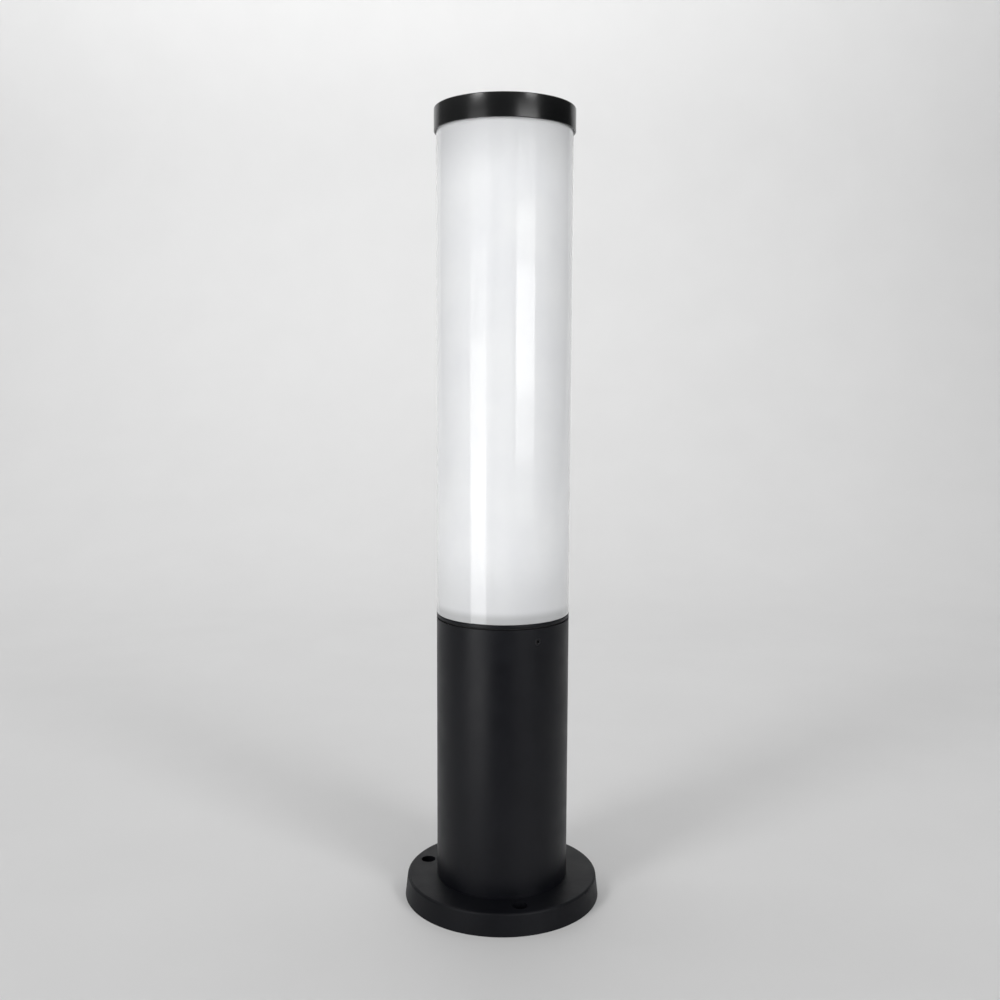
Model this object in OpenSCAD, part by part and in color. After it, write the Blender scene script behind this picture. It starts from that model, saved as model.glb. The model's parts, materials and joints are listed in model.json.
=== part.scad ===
// Bollard light: a black post on a round base, an opal tube head that lifts off, and a screw-in lamp.
// Millimetres, +Z up. The origin is the centre of the base's underside, with the front anchor hole on -Y.

/* [Overall] */
// Height of the whole light, from the ground to the top of the cap
total_h = 450; // [400:1:800]
// Height at which the opal tube starts
seam_z = 168.6; // [150:0.1:280]

/* [Base] */
// How far the base reaches out past the tube, at the ground
base_ledge = 18.75; // [16:0.05:40]
// Thickness of the base
base_h = 12.6; // [10:0.1:20]
// How much smaller in radius the base is at its top edge
base_taper = 1.3; // [0:0.1:3]
// Rounding of the base's top edge
base_edge_r = 1.4; // [0.5:0.1:2]
// Thickness of the base's top plate
base_web_t = 4; // [3:0.1:6]
// Thickness of the rim wall under the base
base_rim_t = 3.2; // [2.5:0.1:4]
// Thickness of the ribs under the base
rib_t = 2.2; // [1.5:0.1:3]
// Distance from the tube's surface to the centre of an anchor hole
anchor_offset = 8.4; // [7:0.1:9]
// Diameter of an anchor hole
anchor_hole_d = 8.5; // [6:0.1:9]
// Height of the ring that enters the tube
base_spigot_h = 8; // [5:0.5:12]
// Bore of the grommet for the supply cable
cable_d = 9; // [7:0.5:11]

/* [Post tube] */
// Outer diameter of the tube
post_d = 76.2; // [72:0.1:92]
// Wall of the tube
post_wall = 3; // [2.5:0.1:3.6]
// Outer radius of a screw channel inside the tube
channel_r = 4; // [3.5:0.1:4.8]
// Diameter of the core hole in a screw channel
channel_bore = 3.6; // [3:0.1:4]
// Width of the slit along a screw channel
channel_slit = 1.6; // [1:0.1:2]

/* [Head] */
// How far the opal tube's surface lies inside the post's
diffuser_inset = 0.1; // [0:0.05:1]
// Wall of the opal tube
diffuser_wall = 3; // [2:0.1:3.6]
// Wall of the cap's skirt, round the top of the opal tube
cap_wall = 1; // [0.8:0.1:3]
// How far the cap reaches down from its top
cap_h = 12.7; // [10:0.1:20]
// Thickness of the cap's top plate
cap_top_t = 2.5; // [2:0.1:4]
// Rounding of the cap's top edge
cap_edge_r = 0.8; // [0.3:0.1:1.5]
// Depth of the ring under the cap that centres it in the opal tube
cap_ring_h = 8; // [5:0.5:12]
// Thickness of the collar's visible flange
collar_flange_t = 2; // [1.5:0.1:4]
// Depth of the collar's skirt inside the post
collar_skirt_h = 18; // [14:0.5:20]
// Height of the collar's ring inside the opal tube
collar_spigot_h = 6; // [5.5:0.5:10]
// Wall of the collar's skirt and ring
collar_wall = 2.4; // [2:0.1:3]
// Thickness of the gasket between collar and tube
collar_gasket_t = 0.8; // [0.5:0.1:1.5]
// Thickness of the seal between cap and opal tube
cap_seal_t = 1.5; // [1:0.1:2]

/* [Grub screws] */
// Thread diameter of a grub screw
grub_d = 4; // [3:0.5:5]
// Length of a grub screw
grub_len = 3; // [2.5:0.1:4]
// Distance of the grub screws below the tube's top
grub_drop = 7.5; // [6:0.5:12]

/* [Lamp tray] */
// Distance of the tray below the top of the tube
tray_drop = 25.8; // [24:0.1:40]
// Thickness of the tray
tray_t = 1.5; // [1:0.1:2]
// Height from the tray to the top of the lampholder bracket
bracket_h = 54.5; // [52:0.5:70]
// Half of the clear width between the bracket's legs
bracket_leg_x = 18; // [17.5:0.5:19]
// Length of a bracket foot
bracket_foot_len = 10; // [9:0.5:11]
// Width of the bracket strip
bracket_w = 16; // [14:0.5:20]
// Thickness of the bracket strip
bracket_t = 1.5; // [1:0.1:2]

/* [Terminal block] */
// Distance between the block's poles
pole_pitch = 12; // [11.5:0.5:12.5]
// Depth of the block, along its poles
block_d = 17; // [16:0.5:20]

/* [Lampholder and lamp] */
// Outer diameter of the porcelain holder's foot
holder_d = 40; // [39:0.5:42]
// Height of the porcelain holder
holder_h = 44; // [42:0.5:53]
// Pitch of the Edison thread
thread_pitch = 3.629; // [3.6:0.001:3.66]
// Diameter of the lamp at its widest
lamp_d = 55; // [45:0.5:60]
// Height of the lamp's housing above its cap
lamp_body_h = 40; // [36:0.5:60]
// Height of the lamp's dome
lamp_dome_h = 36; // [28:0.5:50]

/* [Hidden] */
$fn = 96;

// Clearances: a fit that slides by hand, one that only has to go together, a screw in its thread, and a
// screw in a plain hole
slide_gap = 0.25;
fit_gap = 0.2;
thread_gap = 0.05;
hole_gap = 0.25;

// How far a cut runs past a face, and how far two shapes that are joined reach into each other
past = 1;

// Directions of what repeats three times round the axis, in degrees from +X
anchor_angle = -90;
channel_angle = -30;
grub_angle = -72;

// Heights
collar_z = seam_z - collar_flange_t;
post_top_z = collar_z - collar_gasket_t;
tray_z = post_top_z - tray_drop;
tray_top_z = tray_z + tray_t;
holder_z = tray_top_z + bracket_h;
holder_top_z = holder_z + holder_h;
cap_under_z = total_h - cap_top_t;
cap_low_z = total_h - cap_h;
diffuser_top_z = cap_under_z - cap_seal_t;

// Radii
post_r = post_d / 2;
post_in_r = post_r - post_wall;
channel_c = post_in_r - channel_r - 0.1;
base_r = post_r + base_ledge;
base_top_r = base_r - base_taper;
anchor_c = post_r + anchor_offset;
diffuser_r = post_r - diffuser_inset;
diffuser_in_r = diffuser_r - diffuser_wall;
skirt_r = post_in_r - slide_gap;
skirt_in_r = skirt_r - collar_wall;
spigot_r = diffuser_in_r - fit_gap;
spigot_in_r = spigot_r - collar_wall;

// Screws: shank radius, and the radius and height of a pan head
m3_r = 1.5;
m4_r = 2;
tapper_r = channel_bore / 2 - thread_gap;
m3_head = [2.8, 2];
m4_head = [3.8, 2.4];
head_chamfer = 0.6;
slot_w = 1;
slot_depth = 1;

// ---------------------------------------------------------------- shared shapes

// Copies the children three times round the axis, starting at an angle
module three_round(start, r = 0)
    for (i = [0:2]) rotate(start + 120 * i) translate([r, 0, 0]) children();

// Copies the children to both sides, the same distance from the middle
module both_sides(x)
    for (s = [-1, 1]) translate([s * x, 0, 0]) children();

module ring(outer_r, inner_r, z0, z1)
    translate([0, 0, z0]) difference() {
        cylinder(r = outer_r, h = z1 - z0);
        translate([0, 0, -past]) cylinder(r = inner_r, h = z1 - z0 + 2 * past);
    }

// A hole right through a plate whose lower face is at z = 0
module plate_hole(r, plate_t)
    translate([0, 0, -past]) cylinder(r = r, h = plate_t + 2 * past);

// A screw that points up, its head's seat at z = 0 and its slot in the head's underside
module slotted_screw(shank_r, length, head) {
    head_r = head[0];
    head_h = head[1];
    difference() {
        union() {
            cylinder(r = shank_r, h = length);
            translate([0, 0, -head_h]) cylinder(r1 = head_r - head_chamfer, r2 = head_r, h = head_chamfer);
            translate([0, 0, -head_h + head_chamfer]) cylinder(r = head_r, h = head_h - head_chamfer);
        }
        translate([-head_r - past, -slot_w / 2, -head_h - past])
            cube([2 * (head_r + past), slot_w, slot_depth + past]);
    }
}

// The same screw, pointing down from its seat at z = 0
module screw_down(shank_r, length, head) mirror([0, 0, 1]) slotted_screw(shank_r, length, head);

grommet_squeeze = 0.1;

// A rubber grommet that grips a plate between its two lips; z = 0 is the plate's lower face
module grommet(bore_r, hole_r, plate_t, lip, lip_t) {
    lip_r = hole_r + lip;
    waist_r = hole_r - grommet_squeeze;
    rotate_extrude() polygon([
        [bore_r, -lip_t], [lip_r - 0.6, -lip_t], [lip_r, -lip_t + 0.6], [lip_r, 0],
        [waist_r, 0], [waist_r, plate_t], [lip_r, plate_t],
        [lip_r - 1.4, plate_t + lip_t], [bore_r, plate_t + lip_t]
    ]);
}

// ---------------------------------------------------------------- base and post

base_web_z = base_h - base_web_t;
anchor_boss_t = 3.8;
screw_boss_r = 5.5;
screw_boss_h = 2.4;
rib_lift = 1;
rib_spread = 26;
hub_r = 14;
hub_t = 2.4;
spigot_t = 2.6;
cable_hole_r = cable_d / 2 + 3.5;
base_screw_reach = 14;

module base_outline() {
    polygon([[0, 0], [base_r, 0], [base_top_r, base_h - base_edge_r],
             [base_top_r - base_edge_r, base_h], [0, base_h]]);
    translate([base_top_r - base_edge_r, base_h - base_edge_r]) circle(r = base_edge_r);
}

// The ring that enters the tube, open where the tube's screw channels are
module base_spigot() {
    outer_r = post_in_r - fit_gap;
    difference() {
        ring(outer_r, outer_r - spigot_t, base_h - past, base_h + base_spigot_h);
        three_round(channel_angle, channel_c)
            translate([0, 0, base_h - 2 * past]) cylinder(r = channel_r + 1.2, h = base_spigot_h + 3 * past);
    }
}

// Three ribs between each pair of anchor bosses, from the hub to the rim
module base_ribs() {
    rib_len = base_r - base_rim_t - hub_r + 2 * past;
    three_round(anchor_angle + 60) for (i = [-1:1])
        rotate(rib_spread * i) translate([hub_r - past, -rib_t / 2, rib_lift])
            cube([rib_len, rib_t, base_web_z - rib_lift + past]);
}

// A die-cast plate with a hollow underside, bosses for the bolts and screws, and a ring that centres the tube
module base_flange() color("#1d1e1f") difference() {
    union() {
        difference() {
            rotate_extrude() base_outline();
            translate([0, 0, -past]) cylinder(r = base_r - base_rim_t, h = base_web_z + past);
        }
        three_round(anchor_angle, anchor_c)
            cylinder(r = anchor_hole_d / 2 + anchor_boss_t, h = base_h - past);
        three_round(channel_angle, channel_c)
            translate([0, 0, base_web_z - screw_boss_h]) cylinder(r = screw_boss_r, h = screw_boss_h + past);
        ring(hub_r, hub_r - hub_t, rib_lift, base_h - past);
        base_ribs();
        base_spigot();
    }
    three_round(anchor_angle, anchor_c) plate_hole(anchor_hole_d / 2, base_h);
    three_round(channel_angle, channel_c) {
        plate_hole(m4_r + fit_gap, base_h);
        plate_hole(m4_head[0] + 0.4, base_web_z - screw_boss_h - past);
    }
    plate_hole(cable_hole_r, base_h);
}

// Self-tapping screws from below, into the tube's screw channels
module base_screws() color("silver")
    three_round(channel_angle, channel_c) translate([0, 0, base_web_z - screw_boss_h])
        slotted_screw(tapper_r, screw_boss_h + base_web_t + base_screw_reach, m4_head);

module cable_grommet() color("#2b2b2b")
    translate([0, 0, base_web_z]) grommet(cable_d / 2, cable_hole_r, base_web_t, 2, 2.5);

module tube_section() {
    web_w = channel_r * 1.4;
    difference() {
        union() {
            difference() {
                circle(r = post_r);
                circle(r = post_in_r);
            }
            three_round(channel_angle) {
                translate([channel_c, 0]) circle(r = channel_r);
                translate([channel_c, -web_w / 2]) square([post_in_r + past - channel_c, web_w]);
            }
        }
        three_round(channel_angle) {
            translate([channel_c, 0]) circle(d = channel_bore);
            translate([channel_c - channel_r - past, -channel_slit / 2])
                square([channel_r + past, channel_slit]);
        }
    }
}

// An extruded tube with three screw channels, which are milled away where the tray and collar go in
module post_tube() color("#1a1b1c") difference() {
    translate([0, 0, base_h]) linear_extrude(post_top_z - base_h) tube_section();
    translate([0, 0, tray_z]) cylinder(r = post_in_r, h = tray_drop + past);
    for (i = [0:2]) grub_place(i) cylinder(d = grub_d, h = 2 * (post_wall + past), center = true);
}

// ---------------------------------------------------------------- grub screws

mid_wall_r = post_r - post_wall / 2;
grub_tip_gap = 0.1;
grub_chamfer = 0.45;
hex_d = 2.3;
hex_depth = 1.6;

// The place of a grub screw, with +Z pointing out of the tube and z = 0 at mid-wall
module grub_place(i)
    rotate(grub_angle + 120 * i) translate([mid_wall_r, 0, post_top_z - grub_drop]) rotate([0, 90, 0])
        children();

// A flat-point set screw with a hexagon socket, its tip against the collar's skirt
module grub_screw(i) color("#303132") {
    thread_r = grub_d / 2 - thread_gap;
    grub_place(i) translate([0, 0, skirt_r + grub_tip_gap - mid_wall_r]) difference() {
        union() {
            cylinder(r1 = thread_r - grub_chamfer, r2 = thread_r, h = grub_chamfer);
            translate([0, 0, grub_chamfer]) cylinder(r = thread_r, h = grub_len - grub_chamfer);
        }
        translate([0, 0, grub_len - hex_depth]) cylinder(d = hex_d, h = hex_depth + past, $fn = 6);
    }
}

module grub_screw_a() grub_screw(0);
module grub_screw_b() grub_screw(1);
module grub_screw_c() grub_screw(2);

// ---------------------------------------------------------------- tray and bracket

tray_edge_gap = 0.4;
tray_cable_y = -21;
tray_cable_hole_r = 6;
tray_grommet_wall = 1.6;
bracket_screw_x = bracket_leg_x + 7;
holder_screw_x = 11;
block_screw_x = pole_pitch / 2;
earth_x = pole_pitch;
earth_y = 21;
nut_h = 2.4;
nut_d = 6.35;

// A plated steel disc that rests on the milled ends of the channels
module lamp_tray() color("#b9bcc0") translate([0, 0, tray_z]) difference() {
    cylinder(r = post_in_r - tray_edge_gap, h = tray_t);
    three_round(channel_angle, channel_c) plate_hole(m4_r + hole_gap, tray_t);
    translate([0, tray_cable_y, 0]) plate_hole(tray_cable_hole_r, tray_t);
    both_sides(bracket_screw_x) plate_hole(m3_r + hole_gap, tray_t);
    both_sides(block_screw_x) plate_hole(m3_r, tray_t);
    translate([earth_x, earth_y, 0]) plate_hole(m4_r, tray_t);
}

module tray_screws() color("silver")
    three_round(channel_angle, channel_c) translate([0, 0, tray_top_z])
        screw_down(tapper_r, tray_t + 12, m4_head);

module tray_grommet() color("#2b2b2b") translate([0, tray_cable_y, tray_z])
    grommet(tray_cable_hole_r - tray_grommet_wall, tray_cable_hole_r, tray_t, 1.8, 1.8);

bend_r = 2;
bend_out_r = bend_r + bracket_t;

// A strip's quarter bend about the origin, from +X to +Y
module bend() intersection() {
    difference() {
        circle(r = bend_out_r);
        circle(r = bend_r);
    }
    square(bend_out_r + past);
}

// Half of the bracket's side view: foot, leg and half of the bridge
module bracket_half() {
    foot_x = bracket_leg_x + bend_out_r;
    translate([foot_x, 0]) square([bracket_foot_len - bend_r, bracket_t]);
    translate([foot_x, bend_out_r]) rotate(180) bend();
    translate([bracket_leg_x, bend_out_r]) square([bracket_t, bracket_h - 2 * bend_out_r]);
    translate([bracket_leg_x - bend_r, bracket_h - bend_out_r]) bend();
    translate([0, bracket_h - bracket_t]) square([bracket_leg_x - bend_r, bracket_t]);
}

// A folded steel strip that carries the lampholder at the middle of the opal tube
module holder_bracket() color("#b9bcc0") difference() {
    translate([0, bracket_w / 2, tray_top_z]) rotate([90, 0, 0]) linear_extrude(bracket_w) {
        bracket_half();
        mirror([1, 0]) bracket_half();
    }
    both_sides(bracket_screw_x) translate([0, 0, tray_top_z]) plate_hole(m3_r + hole_gap, bracket_t);
    both_sides(holder_screw_x) translate([0, 0, holder_z - bracket_t]) plate_hole(m3_r + hole_gap, bracket_t);
}

module bracket_screws() color("silver") both_sides(bracket_screw_x)
    translate([0, 0, tray_top_z + bracket_t]) screw_down(m3_r, bracket_t + tray_t + nut_h + 1.6, m3_head);

module bracket_nuts() color("silver") both_sides(bracket_screw_x)
    translate([0, 0, tray_z - nut_h]) difference() {
        cylinder(d = nut_d, h = nut_h, $fn = 6);
        plate_hole(m3_r + thread_gap, nut_h);
    }

// ---------------------------------------------------------------- lampholder

// Edison thread: the cap's root, the shell's crest and half the depth of a rounded wave between them
male_root_r = 12.03;
female_crest_r = 13.53;
thread_amp = 0.55;
thread_sides = 24;
rows_per_pitch = 6;

// The holder, from the shell down to the floor that the centre contact lies on
shell_out_r = 14;
shell_drop = 9;
shell_h = 18;
shell_top_z = holder_top_z - shell_drop;
shell_foot_z = shell_top_z - shell_h;
holder_bore_r = shell_out_r + fit_gap;
holder_floor_z = shell_foot_z - 3;

// The lamp's cap, from the holder's mouth down to its solder tip
lamp_lift = 2;
lamp_cap_h = 24;
insulator_h = 3.5;
contact_h = 2;
lamp_seat_z = holder_top_z + lamp_lift;
cap_foot_z = lamp_seat_z - lamp_cap_h;
contact_z = cap_foot_z - insulator_h - contact_h;

// Terminal pockets in the foot, and the strips that run down to them
foot_h = 17;
terminal_x = 7.5;
pocket_w = 9.5;
pocket_y = 14.4;
pocket_z = holder_z + 1.5;
pocket_h = 11.5;
strip_t = 0.8;
strip_w = 4;
strip_y = 8.4;
strip_z = pocket_z + 2.2;
terminal_size = [8, 1.2, 10.5];
terminal_y = pocket_y + fit_gap;
terminal_seat_y = terminal_y + terminal_size[1];
terminal_screw_z = pocket_z + 6.8;
clamp_gap = 1.1;
holder_screw_len = 5;

// A slot for a strip, from a terminal pocket in to the strip's line and up to the floor
module strip_slot(x) translate([x - strip_w / 2 - fit_gap, strip_y - fit_gap, strip_z - fit_gap]) {
    slot_t = strip_t + 2 * fit_gap;
    cube([strip_w + 2 * fit_gap, pocket_y - strip_y + past, slot_t]);
    cube([strip_w + 2 * fit_gap, slot_t, holder_floor_z + past - strip_z]);
}

// Porcelain body: a wide foot with two terminal pockets, and a sleeve round the screw shell
module holder_body() color("#f0efe9") {
    foot_r = holder_d / 2;
    sleeve_r = foot_r - 1.5;
    bead_r = foot_r - 0.7;
    mouth = 1.2;
    difference() {
        translate([0, 0, holder_z]) rotate_extrude() polygon([
            [0, 0], [foot_r - 1, 0], [foot_r, 1], [foot_r, foot_h - 1.5],
            [sleeve_r, foot_h], [sleeve_r, holder_h - 4], [bead_r, holder_h - 3.4],
            [bead_r, holder_h - 0.8], [sleeve_r, holder_h], [0, holder_h]
        ]);
        translate([0, 0, holder_floor_z])
            cylinder(r = holder_bore_r, h = holder_top_z - holder_floor_z + past);
        translate([0, 0, holder_top_z - mouth])
            cylinder(r1 = holder_bore_r, r2 = holder_bore_r + mouth, h = mouth + 0.1);
        both_sides(terminal_x) translate([-pocket_w / 2, pocket_y, pocket_z])
            cube([pocket_w, foot_r, pocket_h]);
        both_sides(holder_screw_x)
            translate([0, 0, holder_z - past])
                cylinder(r = m3_r + thread_gap, h = holder_screw_len + 2 * past);
        for (s = [-1, 1]) strip_slot(s * terminal_x);
    }
}

module holder_screws() color("silver") both_sides(holder_screw_x)
    translate([0, 0, holder_z - bracket_t]) slotted_screw(m3_r, bracket_t + holder_screw_len, m3_head);

// Height of the thread at a level and an angle, from 0 in the root to 2 amplitudes at the crest
function thread_wave(z, a) = thread_amp * (1 + cos(360 * z / thread_pitch - a));

// 1 inside a stretch of thread, falling to 0 over half a pitch at both ends
function fade(z, z0, z1) = max(0, min(1, (z - z0) / (thread_pitch / 2), (z1 - z) / (thread_pitch / 2)));

// Number of rows of points that a stretch of thread takes
function thread_rows(z0, z1) = ceil((z1 - z0) / thread_pitch * rows_per_pitch);

function turn(r, a, z) = [r * cos(a), r * sin(a), z];

// Inner radius of the screw shell at a level and an angle
function female_r(z, a) =
    female_crest_r - fade(z, shell_foot_z, shell_top_z) * (2 * thread_amp - thread_wave(z, a));

// The brass screw shell: a plain tube outside, the Edison thread inside
module screw_shell() color("#c9b06a") {
    n = thread_sides;
    rows = thread_rows(shell_foot_z, shell_top_z);
    inside = [for (j = [0:rows], i = [0:n - 1]) let (z = shell_foot_z + j * shell_h / rows, a = 360 * i / n)
        turn(female_r(z, a), a, z)];
    outside = [for (z = [shell_top_z, shell_foot_z], i = [0:n - 1]) turn(shell_out_r, 360 * i / n, z)];
    loops = rows + 3;
    faces = [for (j = [0:loops - 1], i = [0:n - 1]) let (k = (i + 1) % n, up = (j + 1) % loops)
        [j * n + i, j * n + k, up * n + k, up * n + i]];
    polyhedron(concat(inside, outside), faces, convexity = 8);
}

// A brass strip from a terminal pocket in to its line and up to a level
module riser(x, top_z) translate([x - strip_w / 2, strip_y, strip_z]) {
    cube([strip_w, terminal_y - strip_y, strip_t]);
    cube([strip_w, strip_t, top_z - strip_z]);
}

// The neutral strip, which spreads out under the screw shell
module shell_tab() color("#c9b06a") {
    riser(terminal_x, shell_foot_z);
    intersection() {
        translate([terminal_x - strip_w / 2, strip_y, shell_foot_z - strip_t])
            cube([strip_w, strip_y, strip_t]);
        cylinder(r = shell_out_r, h = shell_foot_z + past);
    }
}

// The live strip, bent along the floor and up again as a spring under the lamp's tip
module centre_contact() color("#c9b06a") {
    floor_z = holder_floor_z + 0.4;
    contact_gap = 0.1;
    spring_z = contact_z - contact_gap - strip_t;
    x = -terminal_x - strip_w / 2;
    riser(-terminal_x, floor_z + strip_t);
    translate([x, -strip_w / 2, floor_z]) cube([strip_w, strip_y + strip_t + strip_w / 2, strip_t]);
    translate([x, -strip_w / 2, floor_z]) cube([strip_t, strip_w, spring_z + strip_t - floor_z]);
    translate([x, -strip_w / 2, spring_z]) cube([3 - x, strip_w, strip_t]);
}

// Brass plates in the pockets, each on the end of its strip
module holder_terminals() color("#c9b06a") both_sides(terminal_x) difference() {
    translate([-terminal_size[0] / 2, terminal_y, pocket_z + 0.3]) cube(terminal_size);
    translate([0, terminal_y, terminal_screw_z]) rotate([-90, 0, 0])
        plate_hole(m3_r + thread_gap, terminal_size[1]);
}

module holder_terminal_screws() color("silver") both_sides(terminal_x)
    translate([0, terminal_seat_y + clamp_gap, terminal_screw_z]) rotate([90, 0, 0])
        slotted_screw(m3_r, clamp_gap + terminal_size[1], [m3_head[0], 1.8]);

// ---------------------------------------------------------------- terminal block

pole_w = 8.4;
pole_h = 9.5;
slab_h = 4;
slab_inset = 2;
turret_r = 3.1;
turret_bore_r = 2.1;
turret_y = 4.6;
turret_h = 14;
insert_r = 2.7;
insert_bore_r = 1.5;
insert_len = 14;
insert_z = tray_top_z + 5.4;
m26_r = 1.3;
block_head = [2.4, 1.6];
clamp_head = [1.9, 1.8];
clamp_seat = 4.2;

module poles() for (i = [-1:1]) translate([i * pole_pitch, 0, 0]) children();

// The two clamping places of each pole
module clamps() poles() for (s = [-1, 1]) translate([0, s * turret_y, 0]) children();

// A cylinder along Y, centred on the inserts' line
module along_poles(r, length) translate([0, -length / 2, insert_z]) rotate([-90, 0, 0])
    cylinder(r = r, h = length);

// A three-pole block of polyamide
module terminal_block() color("#e8e6dd") difference() {
    union() {
        translate([-pole_pitch, slab_inset - block_d / 2, tray_top_z])
            cube([2 * pole_pitch, block_d - 2 * slab_inset, slab_h]);
        poles() translate([-pole_w / 2, -block_d / 2, tray_top_z]) cube([pole_w, block_d, pole_h]);
        clamps() translate([0, 0, tray_top_z]) cylinder(r = turret_r, h = turret_h);
    }
    poles() along_poles(insert_r + 0.1, block_d + 2 * past);
    clamps() translate([0, 0, insert_z]) cylinder(r = turret_bore_r, h = turret_h);
    both_sides(block_screw_x) translate([0, 0, tray_top_z]) {
        plate_hole(m3_r + fit_gap, slab_h);
        translate([0, 0, slab_h]) cylinder(r = block_head[0] + fit_gap, h = pole_h);
    }
}

module terminal_inserts() color("#c9b06a") poles() difference() {
    along_poles(insert_r, insert_len);
    along_poles(insert_bore_r, insert_len + 2 * past);
    for (s = [-1, 1]) translate([0, s * turret_y, insert_z])
        cylinder(r = m26_r + thread_gap, h = insert_r + past);
}

module terminal_screws() color("silver") clamps()
    translate([0, 0, insert_z + clamp_seat]) screw_down(m26_r, clamp_seat - wire_r - thread_gap, clamp_head);

module block_screws() color("silver") both_sides(block_screw_x)
    translate([0, 0, tray_top_z + slab_h]) screw_down(m3_r - thread_gap, slab_h + tray_t + 2, block_head);

// ---------------------------------------------------------------- leads

lead_r = 1.2;
lead_sides = 8;
wire_r = 0.5;
wire_y = terminal_seat_y + clamp_gap / 2;

// Points along each lead, from the terminal block to its far end, as offsets from the tray's top
live_route = [
    [-12, 8.8, 5.4], [-12, 12, 5.4], [-12, 15, 5.8], [-12, 18, 7.4], [-12, 20.4, 10], [-11.8, 22, 13.4],
    [-11.5, 23, 18], [-11.2, 23.4, 24], [-11, 23.6, 30], [-10.8, 23.6, 36], [-10.6, 23.4, 42],
    [-10.4, 23, 47], [-10.2, 22.2, 51.5], [-9.9, 20.9, 55.1], [-9.8, 19.2, 57.2], [-9.7, 17.8, 58.4]
];
neutral_route = [
    [0, 8.8, 5.4], [0, 12, 5.4], [0.1, 15, 5.8], [0.4, 18, 7.4], [1, 20.4, 10], [2, 22, 13.4],
    [3.6, 23, 18], [5.8, 23.6, 24], [7.8, 23.8, 30], [9.4, 23.7, 36], [10.3, 23.4, 42],
    [10.5, 23, 47], [10.2, 22.2, 51.5], [9.9, 20.9, 55.1], [9.8, 19.2, 57.2], [9.7, 17.8, 58.4]
];
earth_route = [
    [12, 8.8, 5.4], [12, 9.6, 5.3], [12, 10.4, 4.7], [12, 11.2, 3.7], [12, 11.9, 2.9], [12, 12.6, 2.7],
    [12, 16.4, 2.7]
];

// How far the bare wire starts from a lead's last point, and how far it reaches into the block
wire_start = 0.3;
wire_in_block = 5.5;

function unit(v) = v / norm(v);

// Direction of travel at each point of a route
function heading(p, i) = unit(p[min(i + 1, len(p) - 1)] - p[max(i - 1, 0)]);

// A direction across the route; no route runs along X
function side(t) = unit(cross([1, 0, 0], t));

// A closed tube along a route
module swept(route, radius) {
    n = lead_sides;
    last = len(route) - 1;
    points = [for (j = [0:last]) let (t = heading(route, j), u = side(t), w = cross(t, u))
        for (i = [0:n - 1]) route[j] + radius * (cos(360 * i / n) * u + sin(360 * i / n) * w)];
    ends = [[for (i = [n - 1:-1:0]) last * n + i], [for (i = [0:n - 1]) i]];
    walls = [for (j = [0:last - 1], i = [0:n - 1]) let (k = (i + 1) % n)
        [j * n + i, (j + 1) * n + i, (j + 1) * n + k, j * n + k]];
    translate([0, 0, tray_top_z]) polyhedron(points, concat(ends, walls), convexity = 6);
}

module lead_live() color("#6b3d22") swept(live_route, lead_r);
module lead_neutral() color("#2b57a8") swept(neutral_route, lead_r);
module lead_earth() color("#5e9a3a") swept(earth_route, lead_r);

// The copper that shows at the ends of the leads: in the block, and under the holder's terminal screws
module lead_conductors() color("#b4673c") {
    for (route = [live_route, neutral_route, earth_route])
        swept([route[0] - [0, wire_start, 0], route[0] - [0, wire_in_block, 0]], wire_r);
    for (route = [live_route, neutral_route]) {
        end = route[len(route) - 1];
        bent = [end[0], wire_y, end[2] + 2];
        swept([end + wire_start * unit(bent - end), bent, bent + [0, 0, 4.2]], wire_r);
    }
}

// ---------------------------------------------------------------- earth terminal

washer_r = 3.8;
washer_t = 0.7;
ring_t = 0.8;
ring_z = tray_top_z + washer_t;
tongue_w = 3;
barrel_r = 1.9;
barrel_len = 4;
barrel_y = earth_y - 8.1;
barrel_z = tray_top_z + earth_route[len(earth_route) - 1][2];

// A ring terminal: a washer, its tongue, and the barrel crimped round the earth lead's end
module earth_ring() color("#c9b06a") difference() {
    union() {
        translate([earth_x, earth_y, ring_z]) cylinder(r = washer_r, h = ring_t);
        translate([earth_x - tongue_w / 2, barrel_y, ring_z])
            cube([tongue_w, earth_y - barrel_y - m4_r, ring_t]);
        translate([earth_x, barrel_y, barrel_z]) rotate([-90, 0, 0]) cylinder(r = barrel_r, h = barrel_len);
    }
    translate([earth_x, earth_y, ring_z]) plate_hole(m4_r + fit_gap, ring_t);
    translate([earth_x, barrel_y, barrel_z]) rotate([-90, 0, 0]) plate_hole(lead_r + thread_gap, barrel_len);
}

module earth_washer() color("silver")
    translate([earth_x, earth_y, 0]) ring(washer_r, m4_r + fit_gap, tray_top_z, ring_z);

module earth_screw() color("#c9b06a") translate([earth_x, earth_y, ring_z + ring_t])
    screw_down(m4_r - thread_gap, ring_t + washer_t + tray_t + 3, [3.6, 2.2]);

// ---------------------------------------------------------------- head

groove_r = spigot_r - 1.2;
groove_h = 1.9;
groove_z = seam_z + 2.45;
seal_squeeze = 0.1;
edge_break = 0.3;
lead_in = 0.8;

// Die-cast ring: the flange that shows, a skirt inside the post, and a ring inside the opal tube
module head_collar() color("#1c1d1e") rotate_extrude() polygon([
    [spigot_in_r, collar_z], [skirt_in_r, collar_z - collar_wall], [skirt_in_r, collar_z - collar_skirt_h],
    [skirt_r - lead_in, collar_z - collar_skirt_h], [skirt_r, collar_z - collar_skirt_h + lead_in],
    [skirt_r, collar_z], [post_r - edge_break, collar_z], [post_r, collar_z + edge_break],
    [post_r, seam_z - edge_break], [post_r - edge_break, seam_z], [spigot_r, seam_z],
    [spigot_r, groove_z], [groove_r, groove_z],
    [groove_r, groove_z + groove_h], [spigot_r, groove_z + groove_h],
    [spigot_r, seam_z + collar_spigot_h - lead_in], [spigot_r - lead_in, seam_z + collar_spigot_h],
    [spigot_in_r, seam_z + collar_spigot_h]
]);

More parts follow.
